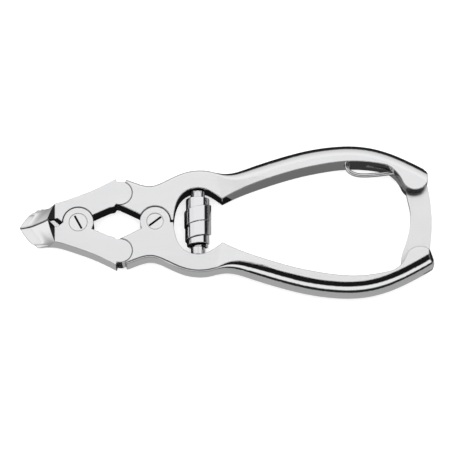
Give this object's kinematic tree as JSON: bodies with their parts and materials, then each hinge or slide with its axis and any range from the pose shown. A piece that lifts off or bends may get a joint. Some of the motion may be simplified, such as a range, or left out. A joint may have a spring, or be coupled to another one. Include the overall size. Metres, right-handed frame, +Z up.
{
  "type": "nail nipper",
  "caption": "Compound-action nail nipper with angled front cutters, barrel spring between the handles and a swinging lock bar at their ends.",
  "frame": {"origin": "middle of the tool's length and width, on the surface that its handles rest on, with the tool closed and locked", "axes": "+X from the jaws towards the handle ends, +Y towards the upper handle, +Z up out of the face with the raised cutting horn"},
  "size_m": [0.1399, 0.0532, 0.0136],
  "materials": {
    "satin_steel": "fine satin, bright edges",
    "polished_steel": "satin faces, polished sides",
    "screw_steel": "satin",
    "pin_steel": "ground",
    "spring_steel": "bright drawn"
  },
  "bodies": {
    "lower_handle": {"lower_handle": "polished_steel", "lower_spring_post": "pin_steel", "barrel_spring": "spring_steel", "lock_bar_pin": "pin_steel"},
    "upper_handle": {"upper_handle": "polished_steel", "handle_pivot_screw": "screw_steel", "upper_spring_post": "pin_steel"},
    "lower_jaw": {"lower_jaw": "satin_steel", "lower_knuckle_pin": "pin_steel"},
    "upper_jaw": {"upper_jaw": "satin_steel", "jaw_pivot_screw": "screw_steel", "upper_knuckle_pin": "pin_steel"},
    "lock_bar": {"lock_bar": "satin_steel"},
    "catch_spring": {"catch_spring": "spring_steel"}
  },
  "joints": [
    {"name": "handle_pivot", "type": "hinge", "parent": "lower_handle", "child": "upper_handle", "pos_m": [-0.0239, 0, 0.005], "axis": [0, 0, 1], "range_deg": [0, 20], "deforming": ["barrel_spring"]},
    {"name": "lower_knuckle", "type": "hinge", "parent": "lower_handle", "child": "lower_jaw", "pos_m": [-0.0357, -0.0101, 0.005], "axis": [0, 0, 1], "range_deg": [0, 19]},
    {"name": "upper_knuckle", "type": "hinge", "parent": "upper_handle", "child": "upper_jaw", "pos_m": [-0.0357, 0.0101, 0.005], "axis": [0, 0, 1], "range_deg": [-19, 0]},
    {"name": "lock_bar_swing", "type": "hinge", "parent": "lower_handle", "child": "lock_bar", "pos_m": [0.0643, -0.0136, 0.005], "axis": [0, 0, -1], "range_deg": [0, 95]},
    {"name": "catch_press", "type": "hinge", "parent": "upper_handle", "child": "catch_spring", "pos_m": [0.0411, 0.0206, 0.005], "axis": [0, 0, -1], "range_deg": [0, 1.2], "stiffness_Nm_per_rad": 0.05, "deforming": ["catch_spring"]}
  ],
  "couplings": [
    {"joint": "lower_knuckle", "follows": "handle_pivot", "ratio": 0.9265},
    {"joint": "upper_knuckle", "follows": "handle_pivot", "ratio": -0.9265}
  ]
}
